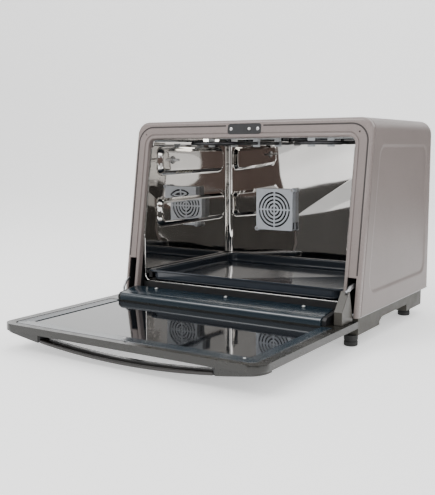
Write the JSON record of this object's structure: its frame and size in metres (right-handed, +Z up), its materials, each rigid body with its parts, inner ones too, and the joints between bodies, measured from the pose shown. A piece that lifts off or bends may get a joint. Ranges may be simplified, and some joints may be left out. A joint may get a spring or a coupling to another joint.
{
  "type": "air fryer oven",
  "caption": "Countertop air fryer oven with a raked front, a glass door that drops flat and a steel cavity with a fan and a tray",
  "frame": {"origin": "Centre of the footprint of the oven with its door open, on the surface its feet stand on.", "axes": "+Z is up, -Y is the side the door opens towards, +X is to the right as the open door faces the viewer."},
  "size_m": [0.5, 0.73, 0.384],
  "materials": {
    "shell_paint": "satin",
    "frame_paint": "satin",
    "cover_paint": "satin",
    "trim_paint": "satin",
    "black_paint": "matte",
    "olive_plastic": "matte",
    "black_plastic": "matte",
    "white_plastic": "matte",
    "handle_brown": "satin",
    "board_green": "matte",
    "black_rubber": "matte",
    "black_silicone": "matte",
    "glass_wool": "matte",
    "liner_steel": "polished",
    "screw_steel": "satin",
    "hinge_steel": "satin",
    "zinc_sheet": "satin",
    "motor_steel": "satin",
    "heater_steel": "satin",
    "fan_cover_steel": "satin",
    "fan_aluminium": "satin",
    "dial_aluminium": "satin",
    "tray_enamel": "gloss",
    "dark_glass": "gloss",
    "lamp_glass": "gloss"
  },
  "bodies": {
    "case": {"outer_shell": "shell_paint", "rear_panel": "shell_paint", "rear_housing": "black_paint", "rear_screws": "screw_steel", "base_pan": "zinc_sheet", "plinth": "olive_plastic", "feet": "black_rubber", "front_frame": "frame_paint", "seam_strip": "black_paint", "door_gasket": "black_silicone", "front_sill": "black_paint", "cavity_liner": "liner_steel", "cavity_back": "liner_steel", "tray_guides": "black_plastic", "insulation_blanket": "glass_wool", "fan_cover": "fan_cover_steel", "fan_cover_screws": "screw_steel", "fan_motor": "motor_steel", "motor_bracket": "zinc_sheet", "top_heater": "heater_steel", "bottom_heater": "heater_steel", "heater_brackets": "liner_steel", "lamp_lens": "lamp_glass", "lamp_bulb": "lamp_glass", "lamp_holder": "zinc_sheet", "temperature_probe": "liner_steel", "latch_plate": "black_plastic", "latch_screws": "screw_steel", "door_switch": "black_plastic", "hinge_pocket_left": "black_paint", "hinge_pocket_right": "black_paint", "hinge_pin_left": "hinge_steel", "hinge_pin_right": "hinge_steel", "power_board": "board_green", "cord_gland": "black_plastic"},
    "fan": {"fan_impeller": "fan_aluminium", "motor_shaft": "hinge_steel", "cooling_fan": "black_plastic"},
    "switch_plunger": {"door_switch_plunger": "white_plastic"},
    "tray": {"baking_tray": "tray_enamel"},
    "dial": {"control_dial": "dial_aluminium"},
    "door": {"door_frame": "olive_plastic", "door_inner_trim": "trim_paint", "door_inner_glass": "dark_glass", "door_outer_glass": "dark_glass", "door_trim_screws": "screw_steel", "control_housing": "trim_paint", "control_housing_screws": "screw_steel", "control_board": "board_green", "housing_end_caps": "black_plastic", "hinge_cover_right": "cover_paint", "hinge_leaf_left": "hinge_steel", "hinge_leaf_right": "hinge_steel", "check_arm_left": "hinge_steel", "check_arm_right": "hinge_steel", "handle_bar": "handle_brown", "handle_mounts": "olive_plastic", "handle_spacers": "black_plastic", "handle_screws": "screw_steel"}
  },
  "joints": [
    {"name": "door_hinge", "type": "hinge", "parent": "case", "child": "door", "pos_m": [0, -0.0375, 0.054], "axis": [1, 0, 0], "range_deg": [-98.9, 0]},
    {"name": "tray_slide", "type": "slide", "parent": "case", "child": "tray", "axis": [0, -1, 0], "range_m": [0, 0.28]},
    {"name": "fan_spin", "type": "hinge", "parent": "case", "child": "fan", "pos_m": [-0.089, 0.281, 0.197], "axis": [0, 1, 0], "continuous": true},
    {"name": "plunger_press", "type": "slide", "parent": "case", "child": "switch_plunger", "axis": [0, -0.988, 0.1547], "range_m": [-0.003, 0], "stiffness_N_per_m": 200, "springref_m": 0.001},
    {"name": "dial_turn", "type": "hinge", "parent": "door", "child": "dial", "pos_m": [0.096, -0.083, 0.034], "axis": [0, 0, -1], "continuous": true}
  ]
}
